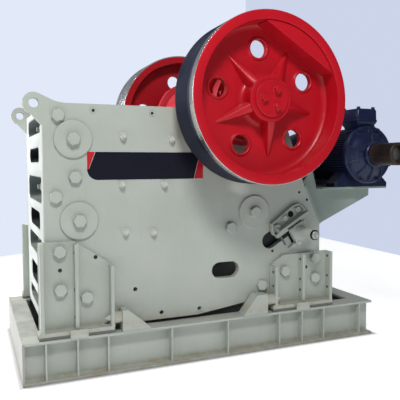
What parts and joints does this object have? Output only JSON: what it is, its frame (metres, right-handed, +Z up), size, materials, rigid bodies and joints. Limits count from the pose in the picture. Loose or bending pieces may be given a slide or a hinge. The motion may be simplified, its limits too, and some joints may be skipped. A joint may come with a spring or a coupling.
{
  "type": "jaw crusher",
  "caption": "Jaw crusher with ribbed box frame, twin red flywheels on an eccentric shaft, swing jaw and toggle, and a drive motor on a rear shelf, on a welded base frame.",
  "frame": {"origin": "on the floor under the middle of the bounding box", "axes": "+X from the feed end to the motor end, +Z up, near side -Y"},
  "size_m": [3.544, 2.48, 2.91],
  "materials": {
    "grey_green_paint": "satin",
    "red_paint": "satin",
    "navy_paint": "satin",
    "dark_steel": "rough",
    "manganese_steel": "rough",
    "rubber": "matt"
  },
  "bodies": {
    "frame": {"adjusting_wedge_far": "dark_steel", "adjusting_wedge_near": "dark_steel", "back_casting": "grey_green_paint", "base_beam_far": "grey_green_paint", "base_beam_near": "grey_green_paint", "base_front_channel": "grey_green_paint", "base_rear_beam": "grey_green_paint", "bearing_housing_far": "red_paint", "bearing_housing_near": "red_paint", "cheek_plate_far": "manganese_steel", "cheek_plate_near": "manganese_steel", "fixed_jaw_die": "manganese_steel", "foot_front_far": "grey_green_paint", "foot_front_near": "grey_green_paint", "foot_pads": "rubber", "foot_rear_far": "grey_green_paint", "foot_rear_near": "grey_green_paint", "front_casting": "grey_green_paint", "lifting_lug_far": "grey_green_paint", "lifting_lug_near": "grey_green_paint", "motor_body": "navy_paint", "motor_bracket": "grey_green_paint", "motor_end_shield": "navy_paint", "motor_fan_cowl": "navy_paint", "motor_feet": "navy_paint", "motor_terminal_box": "navy_paint", "side_plate_far": "grey_green_paint", "side_plate_near": "grey_green_paint", "side_plate_rear_far": "grey_green_paint", "side_plate_rear_near": "grey_green_paint", "stop_buffers": "rubber", "stoppers_far": "grey_green_paint", "stoppers_near": "grey_green_paint", "tie_bosses_far": "grey_green_paint", "tie_bosses_near": "grey_green_paint", "toggle_block": "dark_steel", "toggle_plate": "dark_steel", "wedge_adjuster_far": "grey_green_paint", "wedge_adjuster_near": "grey_green_paint", "wedge_guide_far": "grey_green_paint", "wedge_guide_near": "grey_green_paint"},
    "flywheel_shaft": {"eccentric_shaft": "dark_steel", "flywheel_near": "red_paint", "flywheel_far": "red_paint", "flywheel_rim_near": "red_paint", "flywheel_rim_far": "red_paint", "hub_cap_near": "red_paint", "hub_cap_far": "red_paint"},
    "swing_jaw_body": {"swing_jaw": "grey_green_paint", "swing_jaw_die": "manganese_steel"},
    "motor_rotor": {"motor_shaft": "dark_steel", "drive_sleeve": "dark_steel"}
  },
  "joints": [
    {"name": "flywheel_spin", "type": "hinge", "parent": "frame", "child": "flywheel_shaft", "pos_m": [0.148, 0, 2.21], "axis": [0, 1, 0], "continuous": true},
    {"name": "swing_jaw_orbit", "type": "hinge", "parent": "flywheel_shaft", "child": "swing_jaw_body", "pos_m": [0.13976, 0, 2.19629], "axis": [0, 1, 0], "continuous": true},
    {"name": "motor_spin", "type": "hinge", "parent": "frame", "child": "motor_rotor", "pos_m": [1.455, -1, 1.77], "axis": [0, 1, 0], "continuous": true}
  ],
  "couplings": [
    {"joint": "swing_jaw_orbit", "follows": "flywheel_spin", "ratio": -1}
  ]
}
